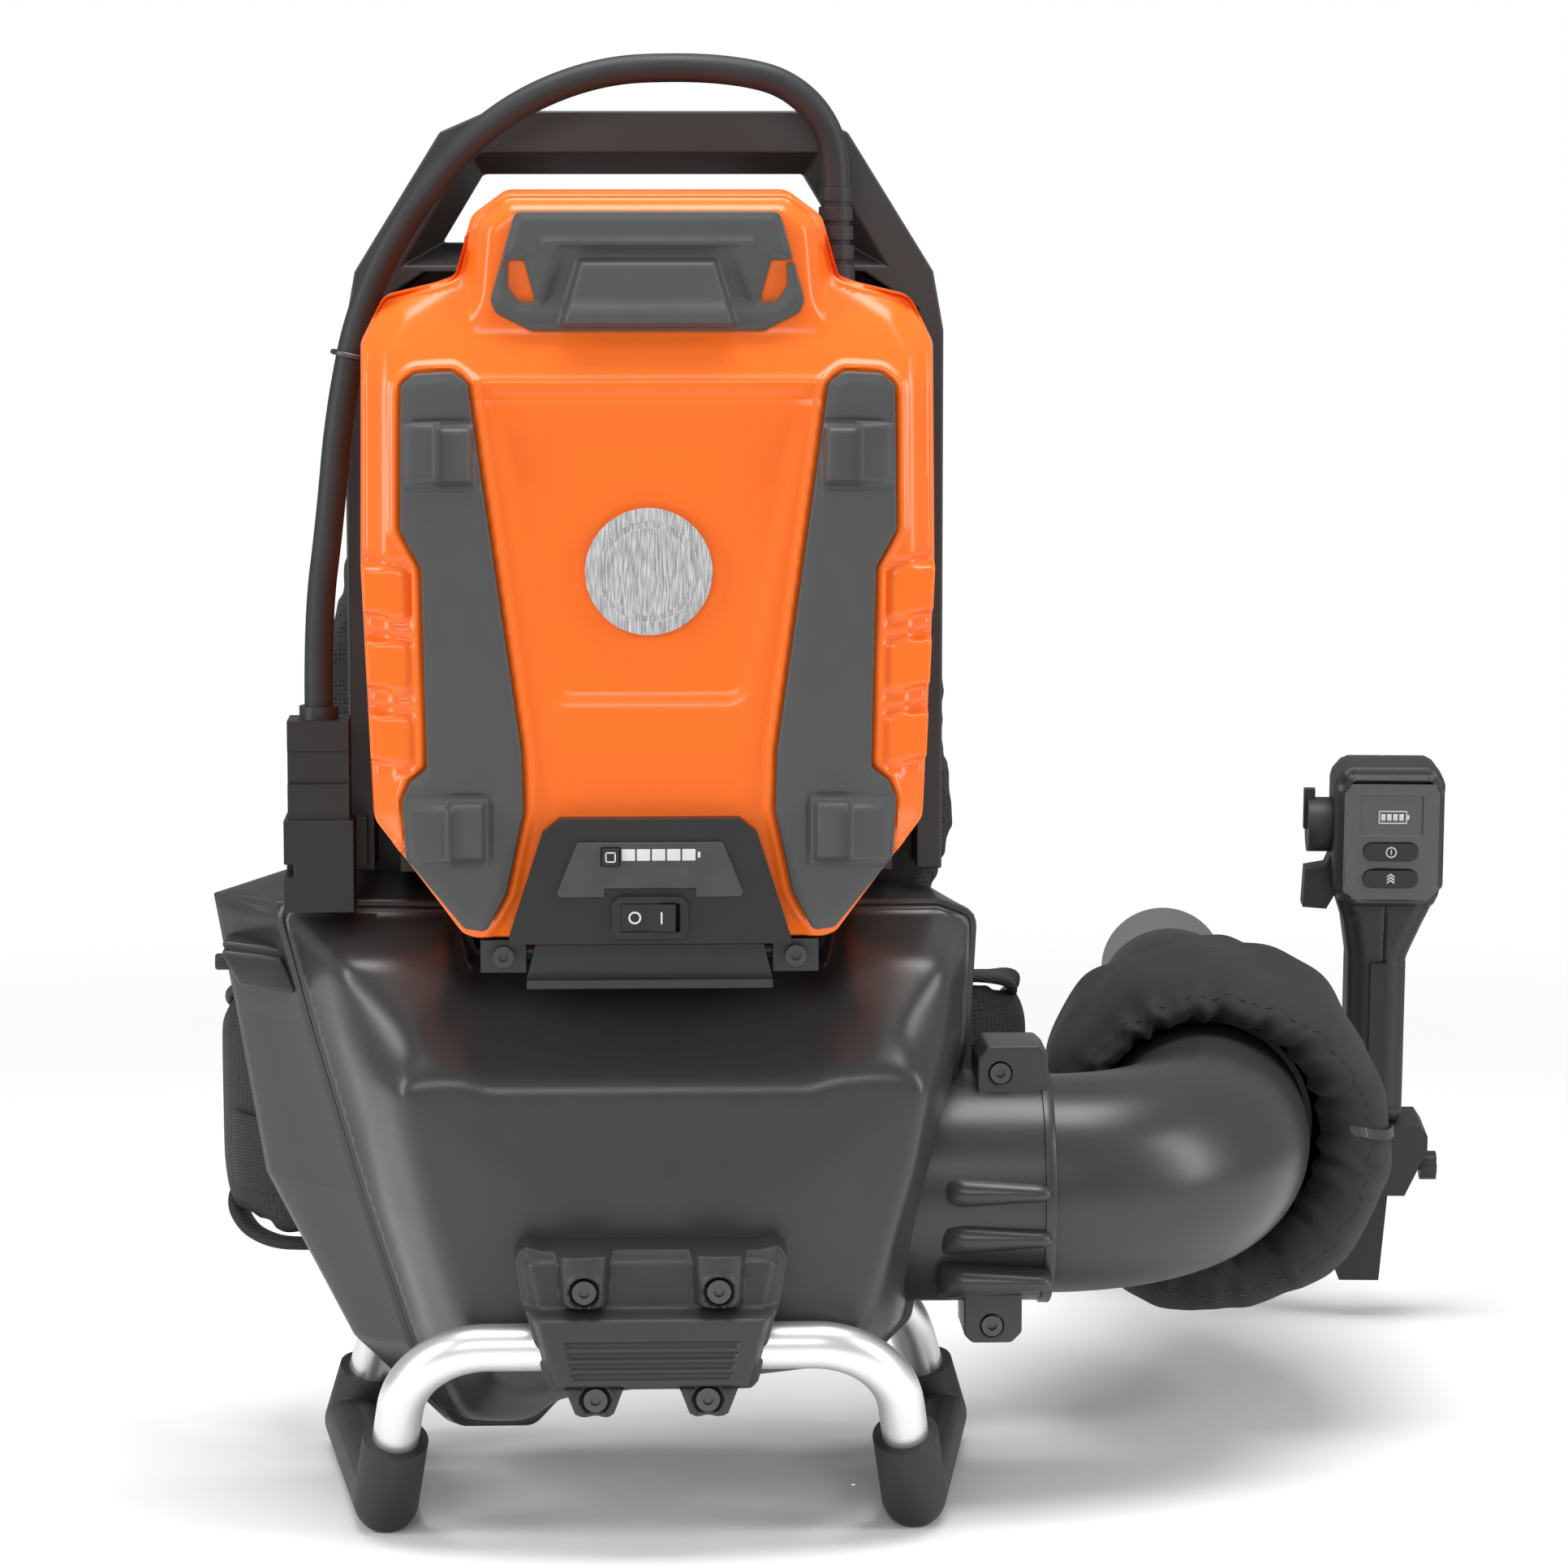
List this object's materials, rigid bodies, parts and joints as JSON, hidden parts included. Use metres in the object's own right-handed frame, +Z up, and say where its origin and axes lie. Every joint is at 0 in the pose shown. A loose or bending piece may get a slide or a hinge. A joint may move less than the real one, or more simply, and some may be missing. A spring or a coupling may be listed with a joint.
{
  "type": "backpack leaf blower",
  "caption": "Battery backpack leaf blower: orange battery on a harness frame, fan casing on tubular skids, swivelling outlet elbow, fabric hose sleeve, blow tube and control handset.",
  "frame": {"origin": "on the floor, under the middle of the skids' soles", "axes": "+Z up, +Y towards the wearer's back, +X to the side of the air outlet"},
  "size_m": [0.6568, 0.5903, 0.6928],
  "materials": {
    "frame_plastic": "fine grained charcoal moulding",
    "casing_plastic": "smooth satin charcoal moulding",
    "battery_orange": "satin orange moulding",
    "guard_plastic": "grained grey guard panels",
    "black_plastic": "black moulding",
    "handset_plastic": "grained dark grip moulding",
    "tube_plastic": "satin grey tube",
    "bow_aluminium": "satin anodised tube",
    "badge_metal": "brushed plate",
    "screw_steel": "black zinc screws",
    "motor_steel": "machined steel",
    "rubber": "soft black rubber",
    "sleeve_fabric": "black woven nylon",
    "harness_fabric": "padded mesh and webbing",
    "display_glass": "dark display panel",
    "cell_wrap": "shrink-wrapped cells",
    "board_green": "coated circuit board"
  },
  "bodies": {
    "chassis": {"back_frame": "frame_plastic", "battery_dock": "frame_plastic", "back_pad": "harness_fabric", "lumbar_pad": "harness_fabric", "shoulder_strap_left": "harness_fabric", "shoulder_strap_right": "harness_fabric", "fan_casing_front": "casing_plastic", "fan_casing_rear": "casing_plastic", "intake_grille": "casing_plastic", "frame_isolators": "rubber", "outlet_collar": "casing_plastic", "housing_screws": "screw_steel", "motor_mount": "motor_steel", "motor_bearings": "motor_steel", "motor_stator": "motor_steel", "motor_controller": "motor_steel", "foot_left": "black_plastic", "foot_right": "black_plastic", "leg_bow_front": "bow_aluminium", "leg_bow_rear": "bow_aluminium", "leg_bracket": "frame_plastic", "bracket_screws": "screw_steel", "rear_bow_clamps": "frame_plastic", "battery_front_shell": "battery_orange", "battery_rear_shell": "battery_orange", "battery_bumper_right": "guard_plastic", "battery_bumper_left": "guard_plastic", "battery_handle_insert": "guard_plastic", "battery_badge": "badge_metal", "battery_console": "black_plastic", "display_plate": "display_glass", "rocker_bezel": "black_plastic", "cell_modules": "cell_wrap", "battery_board": "board_green", "battery_cable": "rubber", "cable_boot": "rubber", "cable_plug": "black_plastic", "cable_socket": "black_plastic", "cable_clip": "screw_steel"},
    "impeller": {"impeller": "black_plastic", "motor_shaft": "motor_steel"},
    "catch": {"battery_catch": "frame_plastic"},
    "rocker": {"rocker_switch": "black_plastic"},
    "charge": {"charge_button": "black_plastic"},
    "hip_left": {"hip_wing_left": "harness_fabric"},
    "hip_right": {"hip_wing_right": "harness_fabric"},
    "elbow": {"elbow_pipe": "casing_plastic", "hose_bellows": "rubber", "hose_sleeve": "sleeve_fabric"},
    "tube": {"blow_tube": "tube_plastic"},
    "handset": {"grip_left": "handset_plastic", "grip_right": "handset_plastic", "handset_panel": "display_glass", "grip_insert": "rubber", "handle_clamp": "handset_plastic"},
    "knob": {"clamp_knob": "handset_plastic"},
    "trigger": {"throttle_trigger": "handset_plastic"},
    "cruise": {"cruise_lever": "handset_plastic"},
    "power": {"power_button": "handset_plastic"},
    "boost": {"boost_button": "handset_plastic"}
  },
  "joints": [
    {"name": "impeller_spin", "type": "hinge", "parent": "chassis", "child": "impeller", "pos_m": [-0.02, -0.03, 0.172], "axis": [0, 1, 0], "continuous": true},
    {"name": "catch_tilt", "type": "hinge", "parent": "chassis", "child": "catch", "pos_m": [0, -0.102, 0.281], "axis": [-1, 0, 0], "range_deg": [0, 25], "stiffness_Nm_per_rad": 0.3, "springref_deg": -8.59},
    {"name": "rocker_tilt", "type": "hinge", "parent": "chassis", "child": "rocker", "pos_m": [0, -0.121, 0.2995], "axis": [0, 0, 1], "range_deg": [0, 12]},
    {"name": "charge_press", "type": "slide", "parent": "chassis", "child": "charge", "axis": [0, 1, 0], "range_m": [0, 0.0025], "stiffness_N_per_m": 400},
    {"name": "hip_left_swing", "type": "hinge", "parent": "chassis", "child": "hip_left", "pos_m": [-0.0578, 0.084, 0.17], "axis": [0, 0, -1], "range_deg": [0, 25]},
    {"name": "hip_right_swing", "type": "hinge", "parent": "chassis", "child": "hip_right", "pos_m": [0.0578, 0.084, 0.17], "axis": [0, 0, 1], "range_deg": [0, 25]},
    {"name": "elbow_swivel", "type": "hinge", "parent": "chassis", "child": "elbow", "pos_m": [0.18, 0, 0.149], "axis": [1, 0, 0], "range_deg": [-2, 35]},
    {"name": "hose_bend", "type": "hinge", "parent": "elbow", "child": "tube", "pos_m": [0.2847, 0.17281, 0.1629], "axis": [0, -0.0802, 0.9968], "range_deg": [-12, 15], "deforming": ["hose_bellows", "hose_sleeve"]},
    {"name": "handle_slide", "type": "slide", "parent": "tube", "child": "handset", "axis": [0.0523, 0.9954, 0.0801], "range_m": [0, 0.06]},
    {"name": "knob_turn", "type": "hinge", "parent": "handset", "child": "knob", "pos_m": [0.4252, 0.35751, 0.08547], "axis": [0.9986, -0.0522, -0.0042], "range_deg": [0, 180]},
    {"name": "trigger_pull", "type": "hinge", "parent": "handset", "child": "trigger", "pos_m": [0.38426, 0.34553, 0.26107], "axis": [-0.0523, -0.9954, -0.0801], "range_deg": [0, 10], "stiffness_Nm_per_rad": 0.3, "springref_deg": -11.46},
    {"name": "cruise_turn", "type": "hinge", "parent": "handset", "child": "cruise", "pos_m": [0.37427, 0.34461, 0.27906], "axis": [0.9986, -0.0522, -0.0042], "range_deg": [0, 60]},
    {"name": "power_press", "type": "slide", "parent": "handset", "child": "power", "axis": [0.0523, 0.9954, 0.0801], "range_m": [0, 0.0025], "stiffness_N_per_m": 400},
    {"name": "boost_press", "type": "slide", "parent": "handset", "child": "boost", "axis": [0.0523, 0.9954, 0.0801], "range_m": [0, 0.0025], "stiffness_N_per_m": 400}
  ]
}
